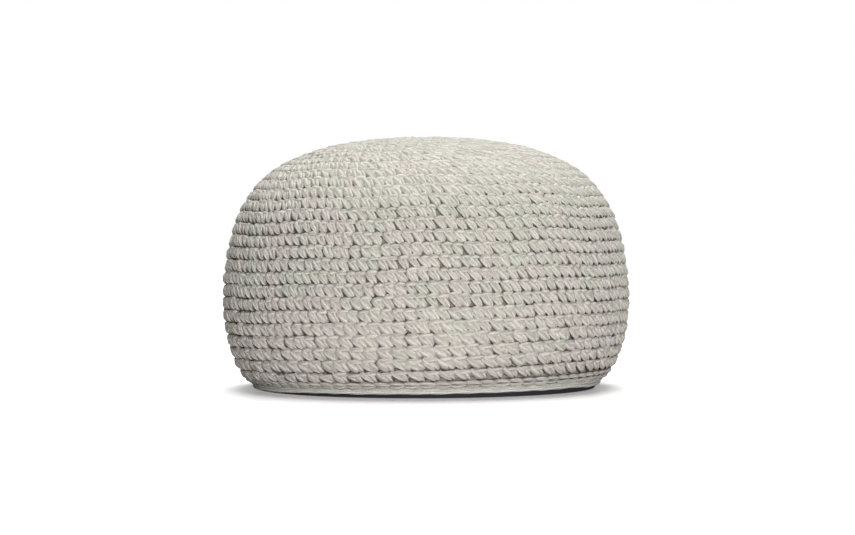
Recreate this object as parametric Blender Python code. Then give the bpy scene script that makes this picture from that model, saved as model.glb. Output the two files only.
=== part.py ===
# Crocheted round pouf, stuffed firm, standing on a dark base cloth.
# Metres, +Z up. The origin is on the floor, under the middle of the crown.

import math
from collections import namedtuple

import bmesh
import bpy
import numpy as np

# Driving sizes
pouf_radius = 0.250
pouf_height = 0.3087
round_count = 33
groove_depth = 0.0024
crown_groove_depth = 0.0016
crown_radius = 0.150
facets_around = 48

base_radius = 0.2095
base_foot_radius = 0.2075
base_thickness = 0.0018
base_rim_width = 0.004
rim_flare = 0.001
piece_gap = 0.0003

cord_color = (0.52, 0.49, 0.43)
cord_roughness = 0.9
dark_cloth_color = (0.012, 0.013, 0.016)
dark_cloth_roughness = 0.95
sharp_edge_angle = math.radians(50)

# Height of the last round's lower edge over the floor, lowest at the left and highest at the right
edge_height = 0.0038
edge_tilt = 0.0015
edge_tilt_heading = math.radians(-25)

# The side seen from the front, from the middle of the crown to the last round's lower edge.
# Each row gives the radius as a share of pouf_radius and the height as a share of pouf_height.
Section = namedtuple("Section", "name radius height")
side_sections = (
    Section("crown centre", 0.000, 1.000),
    Section("crown", 0.253, 0.992),
    Section("crown edge", 0.506, 0.957),
    Section("upper shoulder", 0.667, 0.910),
    Section("shoulder", 0.808, 0.833),
    Section("lower shoulder", 0.908, 0.721),
    Section("upper side", 0.965, 0.591),
    Section("belly top", 0.994, 0.454),
    Section("belly", 0.999, 0.316),
    Section("under the belly", 0.973, 0.179),
    Section("drawn-in side", 0.905, 0.0525),
    Section("lower edge", 0.850, edge_height / pouf_height),
)

# A rib's section, from the groove above it to the groove below.
# Each row gives the place along the round's width and the depth as a share of the groove's.
RibPoint = namedtuple("RibPoint", "along depth")
rib_points = (
    RibPoint(0.28, 0.08),
    RibPoint(0.70, 0.00),
    RibPoint(1.00, 1.00),
)

# Slow waves that handwork leaves in the rounds, as humps in a turn, size and heading of one hump
Wave = namedtuple("Wave", "humps size heading")
round_waves = (
    Wave(3, 0.0010, math.radians(-60)),
    Wave(10, 0.0013, math.radians(-90)),
)

# The first rounds are taller, so the others lie this share of a round lower, and the last is narrow
row_lag = 0.5
row_lag_rounds = 6
# The rows low on the side rise to the right and sink to the left by up to this much
row_tilt = 0.009


def clear_scene():
    for old_object in list(bpy.data.objects):
        bpy.data.objects.remove(old_object, do_unlink=True)


def cloth_material(name, color, roughness):
    material = bpy.data.materials.new(name)
    material.use_nodes = True
    shader = material.node_tree.nodes["Principled BSDF"]
    shader.inputs["Base Color"].default_value = (*color, 1.0)
    shader.inputs["Roughness"].default_value = roughness
    shader.inputs["Metallic"].default_value = 0.0
    material.diffuse_color = (*color, 1.0)
    return material


class SideLine:
    """The smooth side line through the sections, read by the length along it from the crown."""

    steps_per_section = 40

    def __init__(self):
        corners = np.array(
            [(s.radius * pouf_radius, s.height * pouf_height) for s in side_sections]
        )
        # The crown is level at its middle, so the line goes on there as its own mirror image.
        before = corners[1] * (-1, 1)
        after = 2 * corners[-1] - corners[-2]
        corners = np.vstack([before, corners, after])
        line = []
        for i in range(1, len(corners) - 2):
            line.extend(self.stretch(corners[i - 1 : i + 3]))
        line.append(corners[-2])
        self.line = np.array(line)
        steps = np.linalg.norm(np.diff(self.line, axis=0), axis=1)
        self.lengths = np.concatenate([[0.0], np.cumsum(steps)])
        self.length = self.lengths[-1]

    def stretch(self, corners):
        """One stretch of a Catmull-Rom spline, between the two middle corners."""
        knots = [0.0]
        for start, end in zip(corners[:-1], corners[1:]):
            knots.append(knots[-1] + math.sqrt(np.linalg.norm(end - start)))
        for t in np.linspace(knots[1], knots[2], self.steps_per_section, endpoint=False):
            points = list(corners)
            for level in (1, 2, 3):
                points = [
                    self.between(points[i], points[i + 1], knots, i, level, t)
                    for i in range(len(points) - 1)
                ]
            yield points[0]

    @staticmethod
    def between(start, end, knots, i, level, t):
        # The first and last levels blend over one knot span, the middle one over two.
        low, high = {1: (i, i + 1), 2: (i, i + 2), 3: (1, 2)}[level]
        share = (t - knots[low]) / (knots[high] - knots[low])
        return (1 - share) * start + share * end

    def point(self, along):
        radius = np.interp(along, self.lengths, self.line[:, 0])
        height = np.interp(along, self.lengths, self.line[:, 1])
        return np.array((radius, height))

    def inward(self, along):
        """The direction into the pouf, square to the side line."""
        step = 0.001
        ahead = self.point(min(along + step, self.length))
        behind = self.point(max(along - step, 0.0))
        forward = (ahead - behind) / np.linalg.norm(ahead - behind)
        return np.array((forward[1], -forward[0]))


def edge_height_at(angle):
    return edge_height + edge_tilt * math.cos(angle - edge_tilt_heading)


def wave_at(angle, share):
    """How far the handwork shifts a round along the side, fading out at the crown and the edge."""
    shift = sum(w.size * math.cos(w.humps * (angle - w.heading)) for w in round_waves)
    return -shift * math.sin(math.pi * share) ** 2


def lag_at(rounds_down):
    return row_lag * min(rounds_down / row_lag_rounds, round_count - rounds_down, 1.0)


def tilt_at(angle, share):
    """How far a row is shifted down the side, growing downward and gone at the lower edge."""
    rounds_left = (1 - share) * round_count
    return -row_tilt * math.cos(angle) * share**2 * min(rounds_left / 2, 1.0)


def groove_at(radius):
    share = min(radius / crown_radius, 1.0)
    return crown_groove_depth + (groove_depth - crown_groove_depth) * share


def rib_depth(round_index, rib):
    """The last round ends in its lower edge, with no groove below it."""
    if round_index == round_count - 1 and rib == rib_points[-1]:
        return 0.0
    return rib.depth


def cover_point(side, round_index, rib, angle):
    """A point of one rib, with the lower rounds lifted where the lower edge is higher."""
    rounds_down = round_index + rib.along
    share = (rounds_down + lag_at(rounds_down)) / round_count
    along = share * side.length + wave_at(angle, share) + tilt_at(angle, share)
    along = min(max(along, 0.0), side.length)
    radius, height = side.point(along)
    inward = side.inward(along) * groove_at(radius) * rib_depth(round_index, rib)
    lift = (edge_height_at(angle) - edge_height) * max(2 * share - 1, 0.0) ** 2
    return radius + inward[0], height + inward[1] + lift


def ring_of(bm, points):
    """One ring of vertices around the pouf, from a list of radius and height pairs."""
    ring = []
    for i, (radius, height) in enumerate(points):
        angle = 2 * math.pi * i / len(points)
        ring.append(bm.verts.new((radius * math.cos(angle), radius * math.sin(angle), height)))
    return ring


def bridge(bm, upper, lower):
    for i in range(len(upper)):
        j = (i + 1) % len(upper)
        bm.faces.new((upper[i], lower[i], lower[j], upper[j]))


def fan(bm, centre, ring):
    for i in range(len(ring)):
        bm.faces.new((centre, ring[i], ring[(i + 1) % len(ring)]))


def finish_object(name, bm, material):
    bmesh.ops.recalc_face_normals(bm, faces=bm.faces)
    mesh = bpy.data.meshes.new(name)
    bm.to_mesh(mesh)
    bm.free()
    mesh.shade_smooth()
    mesh.set_sharp_from_angle(angle=sharp_edge_angle)
    mesh.materials.append(material)
    piece = bpy.data.objects.new(name, mesh)
    bpy.context.scene.collection.objects.link(piece)
    return piece


def angles():
    return [2 * math.pi * i / facets_around for i in range(facets_around)]


def make_cover():
    """The crocheted rounds as raised closed ribs on one filled solid."""
    side = SideLine()
    bm = bmesh.new()
    crown = bm.verts.new((0.0, 0.0, pouf_height - crown_groove_depth))
    rings = []
    for round_index in range(round_count):
        for rib in rib_points:
            points = [cover_point(side, round_index, rib, angle) for angle in angles()]
            rings.append(ring_of(bm, points))
    # The underside steps over the base cloth's rim, then lies flat on the cloth.
    inner_radius = base_radius - base_rim_width - piece_gap
    step = [(inner_radius, edge_height_at(angle)) for angle in angles()]
    flat_radius = inner_radius - rim_flare
    flat_height = base_thickness + piece_gap
    flat = [(flat_radius, flat_height) for angle in angles()]
    rings.append(ring_of(bm, step))
    rings.append(ring_of(bm, flat))
    fan(bm, crown, rings[0])
    for upper, lower in zip(rings[:-1], rings[1:]):
        bridge(bm, upper, lower)
    fan(bm, bm.verts.new((0.0, 0.0, flat_height)), rings[-1])
    cord = cloth_material("crocheted_cord", cord_color, cord_roughness)
    return finish_object("cover", bm, cord)


def make_base_cloth():
    """A shallow dish of dark cloth, flat on the floor, whose rim shows below the last round."""
    bm = bmesh.new()
    rim_height = [edge_height_at(angle) - piece_gap for angle in angles()]
    inner_radius = base_radius - base_rim_width
    floor_ring = ring_of(bm, [(base_foot_radius, 0.0)] * facets_around)
    outer_ring = ring_of(bm, [(base_radius, height) for height in rim_height])
    inner_ring = ring_of(bm, [(inner_radius, height) for height in rim_height])
    flat_ring = ring_of(bm, [(inner_radius - rim_flare, base_thickness)] * facets_around)
    rings = [flat_ring, inner_ring, outer_ring, floor_ring]
    fan(bm, bm.verts.new((0.0, 0.0, base_thickness)), flat_ring)
    for upper, lower in zip(rings[:-1], rings[1:]):
        bridge(bm, upper, lower)
    fan(bm, bm.verts.new((0.0, 0.0, 0.0)), floor_ring)
    cloth = cloth_material("dark_cloth", dark_cloth_color, dark_cloth_roughness)
    return finish_object("base_cloth", bm, cloth)


clear_scene()
make_cover()
make_base_cloth()
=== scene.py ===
import math
import bpy
import numpy as np
from mathutils import Matrix, Vector


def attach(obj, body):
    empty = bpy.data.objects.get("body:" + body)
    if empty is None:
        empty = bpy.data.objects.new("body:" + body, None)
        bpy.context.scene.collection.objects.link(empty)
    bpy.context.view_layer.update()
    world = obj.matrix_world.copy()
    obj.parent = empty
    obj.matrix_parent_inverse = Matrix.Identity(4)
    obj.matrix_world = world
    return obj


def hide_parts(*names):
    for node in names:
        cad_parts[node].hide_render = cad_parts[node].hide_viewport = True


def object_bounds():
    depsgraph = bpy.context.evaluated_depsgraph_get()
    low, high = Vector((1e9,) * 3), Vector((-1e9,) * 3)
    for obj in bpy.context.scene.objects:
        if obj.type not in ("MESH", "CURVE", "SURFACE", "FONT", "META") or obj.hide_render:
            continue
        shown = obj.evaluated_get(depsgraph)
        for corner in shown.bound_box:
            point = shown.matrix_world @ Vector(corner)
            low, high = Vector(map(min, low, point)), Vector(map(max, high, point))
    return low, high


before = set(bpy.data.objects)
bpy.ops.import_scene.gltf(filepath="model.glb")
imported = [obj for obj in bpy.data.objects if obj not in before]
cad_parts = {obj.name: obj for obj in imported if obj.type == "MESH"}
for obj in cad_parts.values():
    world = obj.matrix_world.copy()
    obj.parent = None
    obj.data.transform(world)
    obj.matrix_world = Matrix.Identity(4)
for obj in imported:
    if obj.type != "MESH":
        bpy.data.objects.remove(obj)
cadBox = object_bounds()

# Crocheted round pouf on a dark base cloth. Metres, +Z up, the photo looks along +Y.
# A name that ends in Mm is in millimetres. "Across" is to the right along a round,
# "down" goes from the crown's middle to the lower edge, "deep" is into the pouf.

mm = 0.001
fullTurn = 2 * math.pi
frontHeading = math.radians(-90)

pouf = {
    "rounds": 33,
    "radiusMm": (cadBox[1].x - cadBox[0].x) / 2 / mm,
    "heightMm": cadBox[1].z / mm,
    "edgeTiltMm": 1.5,  # higher at the right than at the left
    "edgeTiltHeading": math.radians(-25),
    "rowLag": 0.5,  # taller first rounds put the others this much of a round lower
    "rowLagRounds": 6,
    "rowTiltMm": 9.0,  # the rows low on the side rise to the right
    "rowTiltEnd": 2,  # the tilt fades over this many last rounds
    "sideSteps": 40,  # points of the side line from one section to the next
}

# side line from the crown's middle to the lower edge: radius and height as shares of the pouf's
sideSections = (
    (0.000, 1.000),
    (0.253, 0.992),
    (0.506, 0.957),
    (0.667, 0.910),
    (0.808, 0.833),
    (0.908, 0.721),
    (0.965, 0.591),
    (0.994, 0.454),
    (0.999, 0.316),
    (0.973, 0.179),
    (0.905, 0.0525),
    (0.850, 0.0123),  # the lower edge, 3.8 mm over the floor
)

# slow waves of handwork in the rounds: humps in a turn, size in mm, heading of one hump
roundWaves = (
    (3, 1.0, math.radians(-60)),
    (10, 1.3, math.radians(-90)),
)

# stitches in a turn, by round: more in each round of the crown, fewer and wider ones low down
stitchCounts = (
    (1, 7),
    (15, 110),
    (17, 124),
    (22, 132),
    (23, 132),
    (26, 121),
    (28, 98),
    (31, 80),
    (33, 80),
)


def clearSelection():
    for thing in bpy.context.selected_objects:
        thing.select_set(False)
    bpy.context.view_layer.objects.active = None


def addToScene(name, data):
    thing = bpy.data.objects.new(name, data)
    bpy.context.scene.collection.objects.link(thing)
    return thing


def runningSum(steps):
    return np.concatenate([[0], np.cumsum(steps)])


def smoothSide():
    # centripetal Catmull-Rom through the sections, level at the crown
    corners = np.array(sideSections) * (pouf["radiusMm"], pouf["heightMm"])
    before = corners[1] * (-1, 1)
    after = 2 * corners[-1] - corners[-2]
    corners = np.vstack([before, corners, after])
    line = []
    for i in range(1, len(corners) - 2):
        span = corners[i - 1:i + 3]
        knots = runningSum(np.sqrt(np.linalg.norm(np.diff(span, axis=0), axis=1)))
        for t in np.linspace(knots[1], knots[2], pouf["sideSteps"], endpoint=False):
            level = list(span)
            for low, high in (((0, 1, 2), (1, 2, 3)), ((0, 1), (2, 3)), ((1,), (2,))):
                level = [
                    level[j] + (level[j + 1] - level[j]) * (t - knots[a]) / (knots[b] - knots[a])
                    for j, (a, b) in enumerate(zip(low, high))
                ]
            line.append(level[0])
    line.append(corners[-2])
    line = np.array(line)
    return line, runningSum(np.linalg.norm(np.diff(line, axis=0), axis=1))


sidePoints, sideLengths = smoothSide()
sideForward = np.gradient(sidePoints, sideLengths, axis=0)
sideForward /= np.linalg.norm(sideForward, axis=1)[:, None]
print("side line", round(sideLengths[-1], 1), "mm, in", pouf["rounds"], "rounds")


def onPouf(heading, down, deepMm):
    # points and outward directions for headings, rounds below the crown's middle and depths
    heading, down, deepMm = np.broadcast_arrays(heading, down, deepMm)
    left = pouf["rounds"] - down
    lag = pouf["rowLag"] * np.clip(np.minimum(down / pouf["rowLagRounds"], left), 0, 1)
    share = np.clip((down + lag) / pouf["rounds"], 0, None)
    fade = np.sin(math.pi * np.clip(share, 0, 1)) ** 2
    wave = sum(size * np.cos(humps * (heading - at)) for humps, size, at in roundWaves)
    tilt = pouf["rowTiltMm"] * np.cos(heading) * share ** 2
    tilt = tilt * np.clip((1 - share) * pouf["rounds"] / pouf["rowTiltEnd"], 0, 1)
    along = np.clip(share * sideLengths[-1] - wave * fade - tilt, 0, sideLengths[-1])
    radius = np.interp(along, sideLengths, sidePoints[:, 0])
    height = np.interp(along, sideLengths, sidePoints[:, 1])
    forwardR = np.interp(along, sideLengths, sideForward[:, 0])
    forwardZ = np.interp(along, sideLengths, sideForward[:, 1])
    outR, outZ = -forwardZ, forwardR
    lift = pouf["edgeTiltMm"] * np.cos(heading - pouf["edgeTiltHeading"])
    height = height + lift * np.clip(2 * share - 1, 0, 1) ** 2
    radius = radius - outR * deepMm
    height = height - outZ * deepMm
    points = np.stack([radius * np.cos(heading), radius * np.sin(heading), height], axis=-1)
    outward = np.stack([outR * np.cos(heading), outR * np.sin(heading), outZ], axis=-1)
    return points, outward


def ramp(value, start, over):
    # 0 up to the start, then rising to 1
    return np.clip((value - start) / over, 0, 1)


def smoothRows(rows, count):
    # Catmull-Rom through the rows of a short table, read at evenly spaced places
    # gives one (1, count) array for each column of the table
    rows = np.array(rows, float)
    padded = np.vstack([2 * rows[0] - rows[1], rows, 2 * rows[-1] - rows[-2]])
    at = np.linspace(0, len(rows) - 1, count)
    i = np.minimum(at.astype(int), len(rows) - 2)
    t = (at - i)[:, None]
    a, b, c, d = (padded[i + k] for k in range(4))
    smooth = 0.5 * (2 * b + (c - a) * t + (2 * a - 5 * b + 4 * c - d) * t ** 2
                    + (3 * b - a - 3 * c + d) * t ** 3)
    return [column[None] for column in smooth.T]


def meshPiece(name, points, faceSizes, corners, cornerUv=None, marks=None):
    # points in mm, the faces' corners one after another, marks as attributes of the points
    mesh = bpy.data.meshes.new(name)
    mesh.vertices.add(len(points))
    mesh.vertices.foreach_set("co", (points * mm).astype(np.float32).ravel())
    mesh.loops.add(len(corners))
    mesh.loops.foreach_set("vertex_index", corners.astype(np.int32))
    starts = runningSum(faceSizes)[:-1]
    mesh.polygons.add(len(faceSizes))
    mesh.polygons.foreach_set("loop_start", starts.astype(np.int32))
    if cornerUv is not None:
        layer = mesh.uv_layers.new(name="cordUv")
        layer.data.foreach_set("uv", cornerUv.astype(np.float32).ravel())
    for key, values in (marks or {}).items():
        attribute = mesh.attributes.new(key, "FLOAT", "POINT")
        attribute.data.foreach_set("value", values.astype(np.float32))
    mesh.update(calc_edges=True)
    mesh.shade_smooth()
    return addToScene(name, mesh)


# Cord

cord = {
    "plies": 4,
    "plyGroove": 0.86,  # radius in a groove between plies, as a share of the full one
    "twistPerMm": 0.05,  # radians that the plies turn for each mm of cord
    "wideMm": 2.9,  # half the width of a cord, before a strand's own share
    "thickMm": 2.9,  # half its thickness, square to the pouf
    "lengthMm": 997,  # each stitch shows another stretch of this much cord
}


def tubeFaces(paths, steps, sides):
    # corners are numbered path by path and ring by ring
    j = np.arange(sides)
    nextJ = (j + 1) % sides
    ring = (np.arange(paths)[:, None, None] * steps + np.arange(steps - 1)[None, :, None]) * sides
    quads = np.stack([ring + j, ring + sides + j, ring + sides + nextJ, ring + nextJ], axis=-1)
    first = np.arange(paths)[:, None] * steps * sides + j
    last = (first + (steps - 1) * sides)[:, ::-1]
    return quads.reshape(-1, 4), np.concatenate([first, last])


def tubeUv(reach, sides):
    # U runs once round the cord and V along it, in mm
    left, right = np.arange(sides) / sides, np.arange(1, sides + 1) / sides
    start, end = reach[:, :-1, None], reach[:, 1:, None]
    corners = ((left, start), (left, end), (right, end), (right, start))
    stacked = [np.stack(np.broadcast_arrays(u, v), axis=-1) for u, v in corners]
    return np.stack(stacked, axis=-2).reshape(-1, 2)


def cordTubes(centre, outward, wideMm, thickMm, sides, tone, deepMm, plyShare=1.0, pitShadeMm=0):
    # closed tubes along many paths at once: centre and outward are (paths, steps, 3)
    # the pit depth paints shade on the flank beside a hole, the left one where it is above 0, else the
    # right one; deepMm sets the depth for the cord's painted shade
    paths, steps = centre.shape[:2]
    wide, thick, deep, flankShade = (
        np.broadcast_to(each, (paths, steps))[..., None] for each in (wideMm, thickMm, deepMm, pitShadeMm)
    )
    forward = np.gradient(centre, axis=1)
    forward /= np.linalg.norm(forward, axis=2)[..., None]
    sideways = np.cross(forward, outward)
    sideways /= np.linalg.norm(sideways, axis=2)[..., None]
    upward = np.cross(sideways, forward)
    reach = np.zeros((paths, steps))
    reach[:, 1:] = np.cumsum(np.linalg.norm(np.diff(centre, axis=1), axis=2), axis=1)
    spin = reach * cord["twistPerMm"] + (tone * fullTurn)[:, None]
    around = fullTurn * np.arange(sides) / sides
    angle = around + spin[..., None]
    groove = plyShare * (1 - cord["plyGroove"])
    lobe = 1 - groove * (0.5 - 0.5 * np.cos(cord["plies"] * around))
    aside = np.cos(angle) * lobe * wide
    rise = np.sin(angle) * lobe * thick
    offset = sideways[:, :, None] * aside[..., None] + upward[:, :, None] * rise[..., None]
    quads, caps = tubeFaces(paths, steps, sides)
    return {
        "points": (centre[:, :, None] + offset).reshape(-1, 3),
        "quads": quads,
        "caps": caps,
        "quadUv": tubeUv(reach + (tone * cord["lengthMm"])[:, None], sides),
        "cordTone": np.repeat(tone, steps * sides),
        # the depth that the material turns into painted shade, deeper still on the flank beside a hole
        "paintedShadeDepthMm": (deep - rise + np.maximum(flankShade * np.cos(angle), 0)).ravel(),
    }


def joinTubes(name, tubes):
    points, faceSizes, corners, uv = [], [], [], []
    base = 0
    for tube in tubes:
        sides = tube["caps"].shape[1]
        points.append(tube["points"])
        faceSizes += [np.full(len(tube["quads"]), 4), np.full(len(tube["caps"]), sides)]
        corners += [(tube["quads"] + base).ravel(), (tube["caps"] + base).ravel()]
        uv += [tube["quadUv"], np.zeros((tube["caps"].size, 2))]
        base += len(tube["points"])
    cornerUv = np.concatenate(uv) * (1, mm * 100)  # V in cm
    marks = {key: np.concatenate([tube[key] for tube in tubes]) for key in ("cordTone", "paintedShadeDepthMm")}
    return meshPiece(name, np.concatenate(points), np.concatenate(faceSizes),
                     np.concatenate(corners), cornerUv, marks)


# Stitches

# strands of one stitch: across in stitches, down in rounds, deep in mm, width as a share
tallStitch = {
    "leftLeg": (
        (-0.52, 0.18, 7.0, 0.90),
        (-0.46, 0.29, 4.0, 1.12),
        (-0.37, 0.41, 3.0, 1.22),
        (-0.25, 0.54, 2.7, 1.26),
        (-0.11, 0.67, 2.8, 1.28),
        (0.03, 0.80, 3.2, 1.28),
        (0.14, 0.91, 4.2, 1.16),
        (0.22, 1.03, 7.2, 0.92),
    ),
    "rightLeg": (
        (-0.04, 0.18, 8.0, 0.85),
        (0.02, 0.30, 5.0, 1.04),
        (0.10, 0.42, 4.0, 1.12),
        (0.19, 0.55, 3.5, 1.16),
        (0.28, 0.68, 3.3, 1.20),
        (0.36, 0.80, 3.6, 1.20),
        (0.42, 0.91, 4.6, 1.10),
        (0.46, 1.03, 7.4, 0.88),
    ),
    "topLoop": (
        (-0.56, 0.25, 7.5, 0.95),
        (-0.33, 0.21, 4.2, 1.18),
        (0.00, 0.19, 3.1, 1.28),
        (0.33, 0.21, 4.2, 1.18),
        (0.56, 0.25, 7.5, 0.95),
    ),
}

flatStitch = {
    "leftLeg": (
        (-0.52, 0.18, 7.0, 1.00),
        (-0.46, 0.29, 4.0, 1.26),
        (-0.37, 0.41, 3.0, 1.38),
        (-0.24, 0.54, 2.7, 1.42),
        (-0.09, 0.67, 2.8, 1.44),
        (0.05, 0.80, 3.3, 1.42),
        (0.16, 0.91, 4.3, 1.28),
        (0.24, 1.03, 7.2, 1.00),
    ),
    "rightLeg": (
        (-0.02, 0.18, 8.0, 0.95),
        (0.04, 0.30, 5.0, 1.16),
        (0.12, 0.42, 4.0, 1.26),
        (0.21, 0.55, 3.5, 1.30),
        (0.30, 0.68, 3.4, 1.32),
        (0.38, 0.80, 3.7, 1.32),
        (0.44, 0.91, 4.7, 1.20),
        (0.48, 1.03, 7.4, 0.96),
    ),
    "topLoop": (
        (-0.58, 0.26, 7.5, 0.95),
        (-0.34, 0.22, 4.0, 1.20),
        (0.00, 0.20, 2.9, 1.28),
        (0.34, 0.22, 4.0, 1.20),
        (0.58, 0.26, 7.5, 0.95),
    ),
    "backLoop": (
        (0.34, 0.58, 7.5, 0.80),
        (0.52, 0.62, 5.0, 0.95),
        (0.72, 0.64, 4.6, 1.00),
        (0.92, 0.63, 5.0, 0.95),
        (1.08, 0.62, 7.5, 0.80),
    ),
}

stitches = {
    "columnDriftDeg": -0.45,  # each round starts this much further to the left
    "normalWidthMm": 12.0,  # the width of place that the plain cord just fills
    "leastShare": 0.62,  # narrowest cord, in the crown's first round
    "fillPower": 0.55,  # how much the cord of tight feet widens to fill a wider one
    "leanSpread": 0.08,  # random, in stitches from top to foot
    "leanPivot": 0.5,  # the place down the stitch that leaning doesn't move
    "heightSpread": 0.07,  # random, as a share of a round
    "heightPivot": 0.9,
    "depthSpreadMm": 0.4,
    "widthSpread": 0.09,
    "placeSpread": 0.05,
    "slackShare": 0.03,  # stitches whose right leg is thin and leaves a larger hole
    "slackWidth": 0.6,
    "looseSpread": 1.6,  # the larger, the nearer to the front the feet become loose
    "looseSides": (1.0, 0.75),  # how loose the left and the right become
    "looseFoot": (0.45, 1.3),  # loose feet are this share thinner and this many mm further out
    "footFrom": (0.66, 0.20),  # where down the stitch the foot starts, and how soon it is full
    "openRound": 31,  # its feet are loose all around, over the edge chain
    "pitShadeMm": (0.6, 4.6, 2.6),  # flanks beside holes get painted shade as if this much deeper: front, left, right; more at the left than at the right
    "pitShadeFrom": (0.70, 0.12),  # where down the stitch that painted shade starts, and how soon it is full
    "pitFlank": {"leftLeg": 1, "rightLeg": -1},  # the left leg's left flank, the right leg's right one
    "loopDrop": (-0.03, 0.14),  # rounds that top loops lie lower: at the front, and more where loose
    "sides": {"leftLeg": 8, "rightLeg": 8, "topLoop": 7, "backLoop": 6},
    "steps": {"leftLeg": 8, "rightLeg": 7, "topLoop": 5, "backLoop": 5},
    "crownSteps": {"leftLeg": 7, "rightLeg": 6, "topLoop": 4},
    "crownSides": 6,
    "crownRounds": 12,  # rounds small enough for fewer steps and sides
    "flatCrown": (11, 18),  # rounds up to the first lie flat, those past the second stand full
    "flatRelief": 0.04,  # how much of their relief the flat ones keep
    "flatWider": 0.38,  # their cord is this share wider
    "flatDeepMm": 2.9,  # the depth at which they lie
    "crownSinkMm": 1.2,
    "crownShadeMm": 2.4,  # the flat crown gets the painted shade of cord this much less deep
    "backLoopSinkMm": 3.0,  # the back loops sink away from the front to the sides
    "seed": 11,
}

chance = np.random.default_rng(stitches["seed"])


def stitchCount(roundNumber):
    rounds, counts = zip(*stitchCounts)
    return int(round(np.interp(roundNumber, rounds, counts)))


def reliefOf(roundNumber):
    # how far the stitches of a round stand out, from flat in the crown to full
    first, last = stitches["flatCrown"]
    flat = stitches["flatRelief"]
    return flat + (1 - flat) * ramp(roundNumber, first, last - first)


def looseness(roundNumber, heading):
    # how loose the feet at these headings are, and how deep the painted shade beside their holes is
    fromFront = (heading - frontHeading)[:, None]
    toRight = np.sin(fromFront) > 0
    left, right = stitches["looseSides"]
    loose = ramp(1 - np.cos(fromFront), 0, 1 / stitches["looseSpread"]) * np.where(toRight, right, left)
    if roundNumber == stitches["openRound"]:
        loose = np.ones_like(loose)
    atFront, atLeft, atRight = stitches["pitShadeMm"]
    atSide = np.where(toRight, atRight, atLeft)
    return loose, atFront + (atSide - atFront) * loose


def stitchRound(roundNumber, form):
    # all stitches of one round, each strand of them as one set of tubes
    count = stitchCount(roundNumber)
    cell = fullTurn / count
    drift = math.radians(stitches["columnDriftDeg"]) * roundNumber
    heading = frontHeading + drift + cell * (np.arange(count) + 0.5)
    midPoint, _ = onPouf(heading, roundNumber - 0.5, 0)
    cellShare = cell * np.linalg.norm(midPoint[:, :2], axis=1)[:, None] / stitches["normalWidthMm"]
    fit = np.clip(cellShare, stitches["leastShare"], 1)
    fill = np.maximum(cellShare, 1) ** stitches["fillPower"]
    heading = heading + chance.normal(0, stitches["placeSpread"], count) * cell
    lean = chance.normal(0, stitches["leanSpread"], count)[:, None]
    tall = chance.normal(0, stitches["heightSpread"], count)[:, None]
    tone = chance.random(count)
    relief = reliefOf(roundNumber)
    flatter = 1 - relief
    loose, holeShadeMm = looseness(roundNumber, heading)
    small = roundNumber <= stitches["crownRounds"]
    steps = stitches["crownSteps" if small else "steps"]
    tubes = []
    for strand, rows in form.items():
        across, down, deep, share = smoothRows(rows, steps[strand])
        sides = stitches["crownSides"] if small else stitches["sides"][strand]
        deeper = chance.normal(0, stitches["depthSpreadMm"], count)
        wider = 1 + chance.normal(0, stitches["widthSpread"], count)
        if strand == "backLoop":
            deeper = deeper + stitches["backLoopSinkMm"] * (1 - np.cos(2 * (heading - frontHeading)))
        if strand == "rightLeg":
            slack = chance.random(count) < stitches["slackShare"]
            wider = np.where(slack, stitches["slackWidth"], wider)
        deep = stitches["flatDeepMm"] + (deep - stitches["flatDeepMm"]) * relief
        across = across + lean * (stitches["leanPivot"] - down)
        down = down + tall * (stitches["heightPivot"] - down)
        flank = stitches["pitFlank"].get(strand, 0)
        # painted shade on the flank beside the hole
        pitShadeMm = holeShadeMm * relief ** 2 * ramp(down, *stitches["pitShadeFrom"]) * flank
        if strand == "topLoop":
            drop, dropMore = stitches["loopDrop"]
            down = down + (drop + dropMore * loose) * relief
        else:
            foot = ramp(down, *stitches["footFrom"]) * loose
            thinner, outMm = stitches["looseFoot"]
            share = share * (1 - thinner * foot)
            deep = deep - outMm * foot
        deep = deep + deeper[:, None]
        sunk = deep + stitches["crownSinkMm"] * flatter
        # the depth for the painted shade, less in the flat crown
        shaded = deep - stitches["crownShadeMm"] * flatter
        centre, outward = onPouf(heading[:, None] + across * cell, roundNumber - 1 + down, sunk)
        wide = cord["wideMm"] * share * wider[:, None] * fit * (1 + stitches["flatWider"] * flatter)
        wide = wide * fill ** (1 - loose)
        thick = cord["thickMm"] * np.sqrt(share) * fit
        strandTone = (tone + chance.random(count)) % 1
        tubes.append(cordTubes(centre, outward, wide, thick, sides, strandTone, shaded, relief, pitShadeMm))
    return tubes


# pieces, each with its rounds and its form of stitch
bands = {
    "crown_stitches": (range(1, 13), tallStitch),
    "shoulder_stitches": (range(13, 18), tallStitch),
    "upper_side_stitches": (range(18, 22), tallStitch),
    "side_stitches": (range(22, 26), tallStitch),
    "lower_side_stitches": (range(26, 29), flatStitch),
    "lower_stitches": (range(29, 32), flatStitch),
}


def makeStitches():
    made = []
    for name, (rounds, form) in bands.items():
        tubes = []
        for roundNumber in rounds:
            tubes += stitchRound(roundNumber, form)
        piece = joinTubes(name, tubes)
        piece.data.calc_loop_triangles()
        print(name, len(piece.data.loop_triangles), "triangles")
        made.append(piece)
    return made


# Lower edge: a chain of crochet, and a band of plain turns under it

edgeChain = {
    "round": 32,
    "loops": 80,
    # rows as for a stitch: across in loops, down in rounds, deep in mm, width as a share
    "upper": (
        (-0.75, 0.46, 8.0, 0.70),
        (-0.30, 0.32, 4.0, 0.95),
        (0.15, 0.30, 3.0, 1.00),
        (0.55, 0.43, 3.6, 0.85),
        (0.90, 0.53, 7.5, 0.70),
    ),
    "lower": (
        (-0.75, 0.52, 8.0, 0.70),
        (-0.30, 0.74, 4.2, 0.95),
        (0.15, 0.78, 3.2, 1.00),
        (0.55, 0.64, 3.8, 0.85),
        (0.90, 0.50, 7.5, 0.70),
    ),
    "steps": 8,
    "sides": 9,
    "wideMm": 3.0,
    "thickMm": 2.7,
    "depthSpreadMm": 0.25,
}


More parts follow.
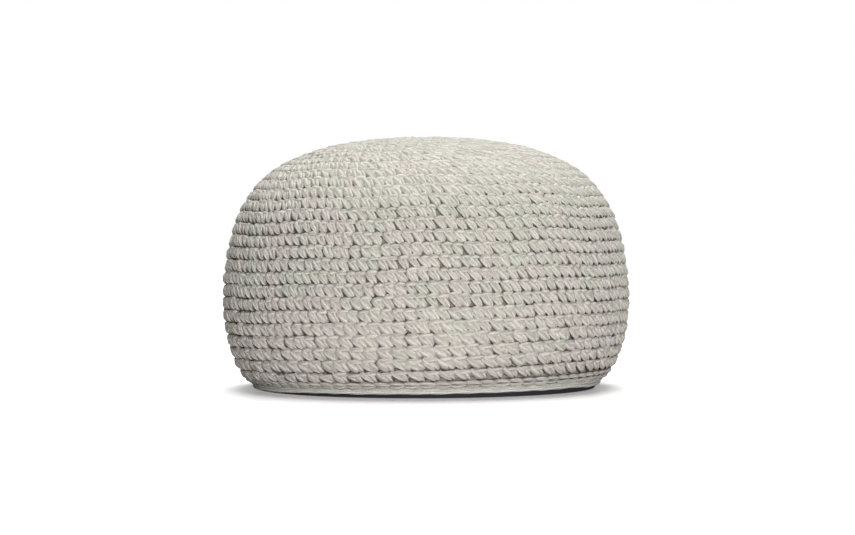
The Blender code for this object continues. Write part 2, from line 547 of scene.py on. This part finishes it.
def makeEdgeChain():
    count = edgeChain["loops"]
    cell = fullTurn / count
    heading = frontHeading + cell * np.arange(count)
    tone = chance.random(count)
    tubes = []
    for strand in ("upper", "lower"):
        across, down, deep, share = smoothRows(edgeChain[strand], edgeChain["steps"])
        deep = deep + chance.normal(0, edgeChain["depthSpreadMm"], count)[:, None]
        centre, outward = onPouf(heading[:, None] + across * cell, edgeChain["round"] - 1 + down, deep)
        tubes.append(cordTubes(centre, outward, edgeChain["wideMm"] * share,
                               edgeChain["thickMm"] * share, edgeChain["sides"], tone, deep))
    return joinTubes("edge_chain", tubes)


edgeBand = {
    "rows": (32.10, 32.42, 32.74),  # rounds down, one for each turn of cord
    "deepMm": (4.2, 3.6, 3.4),
    "steps": 420,
    "sides": 9,
    "wideMm": 3.0,
    "thickMm": 2.8,
    "wobble": ((0.03, 17, 40), (0.02, 41, 0)),  # size in rounds, waves in a turn, shift by row
    "sagMm": (0.9, 2.4),  # how far the last turn hangs over the cloth, in front and at the sides
    "sagFromDeg": (-38, 52),  # headings from the front where it starts to hang further
    "sagOverDeg": 16,
}


def lastTurnSag(heading):
    fromFront = np.degrees((heading - frontHeading + math.pi) % fullTurn - math.pi)
    low, high = edgeBand["sagFromDeg"]
    side = ramp(np.maximum(low - fromFront, fromFront - high), 0, edgeBand["sagOverDeg"])
    front, atSide = edgeBand["sagMm"]
    return front + (atSide - front) * side * side * (3 - 2 * side)


def makeEdgeBand():
    # closed turns of cord, whose ends meet at the back
    steps = edgeBand["steps"]
    heading = frontHeading + math.pi + fullTurn * np.arange(steps + 1)[None] / steps
    tubes = []
    for row, deep in zip(edgeBand["rows"], edgeBand["deepMm"]):
        wobble = sum(size * np.sin(heading * waves + row * shift)
                     for size, waves, shift in edgeBand["wobble"])
        centre, outward = onPouf(heading, row + wobble, deep)
        if row == edgeBand["rows"][-1]:
            centre[..., 2] -= lastTurnSag(heading)
        tubes.append(cordTubes(centre, outward, edgeBand["wideMm"], edgeBand["thickMm"],
                               edgeBand["sides"], np.array([row % 1]), deep))
    return joinTubes("edge_band", tubes)


# Filled body behind the stitches

body = {
    "headings": 160,
    "rowsInRound": 5,
    "lastRound": 32.2,
    "crestDeepMm": 5.6,
    "grooveDeepMm": 8.2,
    "footShare": 0.95,  # the foot's radius as a share of the last row's
    "footMm": 2.4,  # its height over the floor, above the base cloth
}


def makeBody():
    # closed: the crown's middle, rings with a rib for each round, and a flat foot
    count = body["headings"]
    headings = frontHeading + fullTurn * np.arange(count) / count
    rows = np.arange(1, int(body["lastRound"] * body["rowsInRound"]) + 1) / body["rowsInRound"]
    swell = np.sin(math.pi * (rows % 1)) ** 2
    deep = body["grooveDeepMm"] + (body["crestDeepMm"] - body["grooveDeepMm"]) * swell
    rings, _ = onPouf(headings[None], rows[:, None], deep[:, None])
    foot = rings[-1] * (body["footShare"], body["footShare"], 0) + (0, 0, body["footMm"])
    top = (0, 0, pouf["heightMm"] - body["grooveDeepMm"])
    bottom = (0, 0, body["footMm"])
    points = np.concatenate([[top], rings.reshape(-1, 3), foot, [bottom]])
    quads, _ = tubeFaces(1, len(rings) + 1, count)
    ring = 1 + np.arange(count)
    nextRing = np.roll(ring, -1)
    footStart = len(rings) * count
    topFan = np.stack([np.zeros(count, int), ring, nextRing], axis=-1)
    bottomMiddle = np.full(count, len(points) - 1)
    bottomFan = np.stack([bottomMiddle, footStart + nextRing, footStart + ring], axis=-1)
    sizes = np.concatenate([np.full(count, 3), np.full(len(quads), 4), np.full(count, 3)])
    corners = np.concatenate([topFan.ravel(), (quads + 1).ravel(), bottomFan.ravel()])
    return meshPiece("filled_body", points, sizes, corners)


# Materials

def newMaterial(name):
    material = bpy.data.materials.new(name)
    material.use_nodes = True
    tree = material.node_tree
    return material, tree, tree.nodes["Principled BSDF"]


def addNode(tree, kind, **settings):
    node = tree.nodes.new(kind)
    for key, value in settings.items():
        setattr(node, key, value)
    return node


def setInputs(node, values):
    for label, value in values.items():
        node.inputs[label].default_value = value


def feed(tree, sockets, values):
    # each value is a number, a colour or another node's output
    for socket, value in zip(sockets, values):
        if isinstance(value, (int, float)):
            socket.default_value = value
        elif isinstance(value, tuple):
            socket.default_value = (*value, 1)
        else:
            tree.links.new(value, socket)


def mathNode(tree, operation, *values):
    node = addNode(tree, "ShaderNodeMath", operation=operation)
    feed(tree, node.inputs, values)
    return node.outputs[0]


def colorMix(tree, factor, first, second, blend="MIX"):
    node = addNode(tree, "ShaderNodeMix", data_type="RGBA", blend_type=blend)
    feed(tree, (node.inputs[0], node.inputs[6], node.inputs[7]), (factor, first, second))
    return node.outputs[2]


def rangeNode(tree, value, fromMin, fromMax, toMin=0.0, toMax=1.0, **settings):
    node = addNode(tree, "ShaderNodeMapRange", **settings)
    feed(tree, node.inputs, (value, fromMin, fromMax, toMin, toMax))
    return node.outputs[0]


def shadeNode(tree, value, spread):
    # from 1 - spread to 1 + spread as the value goes from 0 to 1
    return rangeNode(tree, value, 0.0, 1.0, 1 - spread, 1 + spread, clamp=False)


def noiseNode(tree, place, scale, detail, **settings):
    node = addNode(tree, "ShaderNodeTexNoise", **settings)
    setInputs(node, {"Scale": scale, "Detail": detail})
    tree.links.new(place, node.inputs["Vector"])
    return node.outputs["Fac"]


def attributeNode(tree, name):
    return addNode(tree, "ShaderNodeAttribute", attribute_name=name).outputs["Fac"]


def objectPlace(tree):
    return addNode(tree, "ShaderNodeTexCoord").outputs["Object"]


def splitVector(tree, vector):
    node = addNode(tree, "ShaderNodeSeparateXYZ")
    tree.links.new(vector, node.inputs[0])
    return node.outputs


def addBump(tree, shader, height, distanceMm, strength):
    bump = addNode(tree, "ShaderNodeBump")
    setInputs(bump, {"Distance": distanceMm * mm, "Strength": strength})
    tree.links.new(height, bump.inputs["Height"])
    tree.links.new(bump.outputs[0], shader.inputs["Normal"])


def groupTree(name, inputs, outputs):
    tree = bpy.data.node_groups.new(name, "ShaderNodeTree")
    for direction, sockets in (("INPUT", inputs), ("OUTPUT", outputs)):
        for label, kind in sockets:
            tree.interface.new_socket(name=label, in_out=direction, socket_type="NodeSocket" + kind)
    return tree, addNode(tree, "NodeGroupInput").outputs, addNode(tree, "NodeGroupOutput").inputs


cordLook = {
    "color": (0.655, 0.629, 0.565),
    "pinkCast": (0.674, 0.625, 0.573),
    "greenCast": (0.641, 0.629, 0.556),
    "castScale": 26.0,  # casts a few stitches wide
    "castDetail": 1.5,
    "castSteps": (0.38, 0.50, 0.62),  # green up to the first, plain at the next, pink past the last
    "pinkerBelowM": 0.16,  # the casts turn from green to pink below this height
    "pinkerPerM": 0.9,
    "toneSpread": 0.07,  # how much lighter or darker a strand can be
    # painted shade in the grooves between the plies
    "grooveShade": 0.7,
    "paintedDeepShade": 0.22,  # painted shade: how light the cord is painted where it lies deep between the stitches
    "paintedShadeFromMm": 1.2,
    "paintedShadeToMm": 4.6,
    "fibreScale": (26.0, 2.6),  # noise cells once round the cord, and in each cm along it
    "fibreDetail": 3.0,
    "fibreShade": 0.3,
    "fluffScale": 620.0,
    "fluffDetail": 2.0,
    "fluffShade": 0.3,
    "plyBumpMm": 0.4,
    "fibreBumpMm": 0.35,
    "fluffBumpMm": 0.45,
    "bumpStrength": 0.8,
    "roughness": 0.92,
    "specular": 0.25,
}


def castColor(tree, given):
    # casts of colour over a few stitches, pinker low down
    place = objectPlace(tree)
    cast = noiseNode(tree, place, cordLook["castScale"], cordLook["castDetail"])
    lower = mathNode(tree, "SUBTRACT", cordLook["pinkerBelowM"], splitVector(tree, place)[2])
    pinker = mathNode(tree, "ADD", cast, mathNode(tree, "MULTIPLY", lower, cordLook["pinkerPerM"]))
    green, plain, pink = cordLook["castSteps"]
    greenToPlain = colorMix(tree, rangeNode(tree, pinker, green, plain),
                            given["Green Cast"], given["Color"])
    return colorMix(tree, rangeNode(tree, pinker, plain, pink), greenToPlain, given["Pink Cast"])


def makeCordSurface():
    # twisted cord seen close: its colour with painted shade in the ply grooves and deep between the
    # stitches, and its relief in mm
    tree, given, result = groupTree(
        "cord_surface",
        (("Color", "Color"), ("Pink Cast", "Color"), ("Green Cast", "Color"), ("Groove Shade", "Float")),
        (("Color", "Color"), ("Relief", "Float")),
    )
    uv = splitVector(tree, addNode(tree, "ShaderNodeUVMap", uv_map="cordUv").outputs[0])
    # plies: U runs once round the cord with the twist, so the grooves keep their U
    phase = mathNode(tree, "MULTIPLY", uv[0], cord["plies"] * fullTurn)
    ply = rangeNode(tree, mathNode(tree, "COSINE", phase), -1.0, 1.0)
    # fibres are noise drawn out along the cord, fluff is fine noise all over it
    drawnOut = addNode(tree, "ShaderNodeCombineXYZ")
    for i, scale in enumerate(cordLook["fibreScale"]):
        tree.links.new(mathNode(tree, "MULTIPLY", uv[i], scale), drawnOut.inputs[i])
    fibre = noiseNode(tree, drawnOut.outputs[0], 1.0, cordLook["fibreDetail"], noise_dimensions="2D")
    fluff = noiseNode(tree, objectPlace(tree), cordLook["fluffScale"], cordLook["fluffDetail"])
    shades = (
        shadeNode(tree, fibre, cordLook["fibreShade"]),
        # painted shade in the ply grooves
        rangeNode(tree, ply, 0.0, 1.0, given["Groove Shade"], 1.0, clamp=False),
        shadeNode(tree, fluff, cordLook["fluffShade"]),
        # painted shade where the cord lies deep between the stitches
        rangeNode(tree, attributeNode(tree, "paintedShadeDepthMm"), cordLook["paintedShadeFromMm"], cordLook["paintedShadeToMm"],
                  1.0, cordLook["paintedDeepShade"], interpolation_type="SMOOTHSTEP"),
    )
    shade = shadeNode(tree, attributeNode(tree, "cordTone"), cordLook["toneSpread"])
    for each in shades:
        shade = mathNode(tree, "MULTIPLY", shade, each)
    grey = addNode(tree, "ShaderNodeCombineColor")
    feed(tree, grey.inputs, (shade, shade, shade))
    shadedColor = colorMix(tree, 1.0, castColor(tree, given), grey.outputs[0], "MULTIPLY")
    tree.links.new(shadedColor, result["Color"])
    relief = mathNode(tree, "MULTIPLY", ply, cordLook["plyBumpMm"])
    for noise, height in ((fibre, cordLook["fibreBumpMm"]), (fluff, cordLook["fluffBumpMm"])):
        relief = mathNode(tree, "ADD", relief, mathNode(tree, "MULTIPLY", noise, height))
    tree.links.new(relief, result["Relief"])
    return tree


def cordMaterial(name, look):
    material, tree, shader = newMaterial(name)
    surface = addNode(tree, "ShaderNodeGroup", node_tree=cordSurface)
    setInputs(surface, {
        "Color": (*look["color"], 1),
        "Pink Cast": (*look["pinkCast"], 1),
        "Green Cast": (*look["greenCast"], 1),
        "Groove Shade": look["grooveShade"],
    })
    tree.links.new(surface.outputs["Color"], shader.inputs["Base Color"])
    addBump(tree, shader, surface.outputs["Relief"], 1.0, look["bumpStrength"])
    setInputs(shader, {"Roughness": look["roughness"], "Specular IOR Level": look["specular"]})
    return material


# the same cord as the stitches, painted lighter and cooler as painted light from the floor on the band
litBandLook = {
    **cordLook,
    "color": (0.80, 0.80, 0.745),
    "pinkCast": (0.81, 0.79, 0.73),
    "greenCast": (0.78, 0.80, 0.75),
    "grooveShade": 0.85,
}

# the backs of the stitches seen through the holes: the cord painted dark, as painted shade inside the
# pouf
paintedShadeBodyLook = {
    "color": (0.36, 0.328, 0.281),
    "darker": (0.252, 0.2296, 0.1967),
    "noiseScale": 400.0,
    "noiseDetail": 2.0,
    "roughness": 1.0,
}


def bodyMaterial():
    # dark cord colour with a little noise, a painted shade for the holes
    material, tree, shader = newMaterial("stitch_backs_painted_shade")
    noise = noiseNode(tree, objectPlace(tree), paintedShadeBodyLook["noiseScale"], paintedShadeBodyLook["noiseDetail"])
    color = colorMix(tree, noise, paintedShadeBodyLook["darker"], paintedShadeBodyLook["color"])
    tree.links.new(color, shader.inputs["Base Color"])
    setInputs(shader, {"Roughness": paintedShadeBodyLook["roughness"]})
    return material


darkCloth = {
    "color": (0.012, 0.013, 0.017),
    "lighter": (0.035, 0.037, 0.045),
    "threadMm": 0.6,
    "wavePeriod": 0.314,  # a wave texture's bands at scale 1, in metres
    "unevenness": 0.6,
    "bumpMm": 0.2,
    "roughness": 0.9,
}


def darkClothMaterial():
    material, tree, shader = newMaterial("dark_woven_cloth")
    place = objectPlace(tree)
    threads = []
    for direction in ("X", "Y"):
        wave = addNode(tree, "ShaderNodeTexWave", bands_direction=direction)
        setInputs(wave, {
            "Scale": darkCloth["wavePeriod"] / (darkCloth["threadMm"] * mm),
            "Distortion": darkCloth["unevenness"],
        })
        tree.links.new(place, wave.inputs["Vector"])
        threads.append(wave.outputs["Fac"])
    weave = mathNode(tree, "MAXIMUM", *threads)
    color = colorMix(tree, weave, darkCloth["color"], darkCloth["lighter"])
    tree.links.new(color, shader.inputs["Base Color"])
    addBump(tree, shader, weave, darkCloth["bumpMm"], 1.0)
    setInputs(shader, {"Roughness": darkCloth["roughness"]})
    return material


# Camera, floor and light

photo = {
    "widthPx": 855,
    "poufHalfWidthPx": 203,
    "sensorMm": 36,
    "distance": 2.5,
    "eyeHeight": 0.160,
    "aimHeight": 0.1476,
    "aimAcross": 0.002,
    "rollDeg": -0.2,
}


def makeCamera():
    # the lens makes the pouf as wide as in the photo at this distance
    radius = pouf["radiusMm"] * mm
    lensPx = photo["poufHalfWidthPx"] * math.sqrt(photo["distance"] ** 2 - radius ** 2) / radius
    data = bpy.data.cameras.new("photo_camera")
    data.sensor_width = photo["sensorMm"]
    data.lens = photo["sensorMm"] * lensPx / photo["widthPx"]
    camera = addToScene("photo_camera", data)
    camera.location = (photo["aimAcross"], -photo["distance"], photo["eyeHeight"])
    toward = Vector((photo["aimAcross"], 0, photo["aimHeight"])) - camera.location
    turn = toward.to_track_quat("-Z", "Y").to_matrix()
    roll = Matrix.Rotation(math.radians(photo["rollDeg"]), 3, "Z")
    camera.rotation_euler = (turn @ roll).to_euler()
    bpy.context.scene.camera = camera


studio = {
    "backdrop": 1.0,
    "fill": 0.03,  # what the backdrop gives the pouf
    "floorSize": 30,
    "floorSeen": 0.75,
    "floorBounce": 0.45,  # what the floor gives back to the pouf
    "floorGlow": (0.22, 0.52),  # keeps the shadow light in the picture, more so at the sides
    "glowFromM": (0.195, 0.25),  # from this far left and right of the middle
    "floorRoughness": 0.9,
    "sunStrength": 4.1,
    "sunSpreadDeg": 46,
    "sunFrom": (0.04, 0.28, 1.0),
    "frontPower": 104,
    "frontSize": 0.8,
    "frontPlace": (0.45, -3.0, 0.1),
    "frontAim": (0, 0, 0.15),
}


def makeFloor():
    clearSelection()
    bpy.ops.mesh.primitive_plane_add(size=studio["floorSize"], location=(0, 0, 0))
    floor = bpy.context.object
    floor.name = "studio_floor"
    material, tree, shader = newMaterial("studio_white")
    setInputs(shader, {"Roughness": studio["floorRoughness"], "Emission Color": (1, 1, 1, 1)})
    # the camera sees a lighter floor than the one that lights the pouf from below
    seen = addNode(tree, "ShaderNodeLightPath").outputs["Is Camera Ray"]
    bounce, white = ((studio[key],) * 3 for key in ("floorBounce", "floorSeen"))
    tree.links.new(colorMix(tree, seen, bounce, white), shader.inputs["Base Color"])
    across = mathNode(tree, "ABSOLUTE", splitVector(tree, objectPlace(tree))[0])
    glow = rangeNode(tree, across, *studio["glowFromM"], *studio["floorGlow"])
    tree.links.new(mathNode(tree, "MULTIPLY", seen, glow), shader.inputs["Emission Strength"])
    floor.data.materials.append(material)


def makeBackdrop():
    # white in the picture, and little light from it on the pouf
    world = bpy.data.worlds.new("studio_world")
    world.use_nodes = True
    tree = world.node_tree
    background = tree.nodes["Background"]
    setInputs(background, {"Color": (1, 1, 1, 1)})
    seen = addNode(tree, "ShaderNodeLightPath").outputs["Is Camera Ray"]
    fill = studio["fill"]
    strength = mathNode(tree, "MULTIPLY_ADD", seen, studio["backdrop"] - fill, fill)
    tree.links.new(strength, background.inputs["Strength"])
    bpy.context.scene.world = world


def makeLights():
    overhead = bpy.data.lights.new("overhead_softbox", "SUN")
    overhead.energy = studio["sunStrength"]
    overhead.angle = math.radians(studio["sunSpreadDeg"])
    softbox = addToScene("overhead_softbox", overhead)
    softbox.rotation_euler = Vector(studio["sunFrom"]).to_track_quat("Z", "Y").to_euler()
    front = bpy.data.lights.new("front_softbox", "AREA")
    front.energy = studio["frontPower"]
    front.size = studio["frontSize"]
    softbox = addToScene("front_softbox", front)
    softbox.location = studio["frontPlace"]
    aim = Vector(studio["frontAim"]) - softbox.location
    softbox.rotation_euler = aim.to_track_quat("-Z", "Y").to_euler()


bpy.context.scene.view_settings.view_transform = "Standard"
makeCamera()
makeFloor()
makeBackdrop()
makeLights()
print("camera, floor and lights made")

cordSurface = makeCordSurface()
cordCloth = cordMaterial("crocheted_cord", cordLook)
litBandCloth = cordMaterial("edge_band_cord_painted_light", litBandLook)
for piece in makeStitches() + [makeEdgeChain(), makeEdgeBand()]:
    piece.data.materials.append(litBandCloth if piece.name == "edge_band" else cordCloth)
    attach(piece, "root")
print("stitches and lower edge made")

filledBody = makeBody()
filledBody.data.materials.append(bodyMaterial())
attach(filledBody, "root")
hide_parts("cover")
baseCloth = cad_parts["base_cloth"]
baseCloth.data.materials.clear()
baseCloth.data.materials.append(darkClothMaterial())
print("filled body and base cloth made")
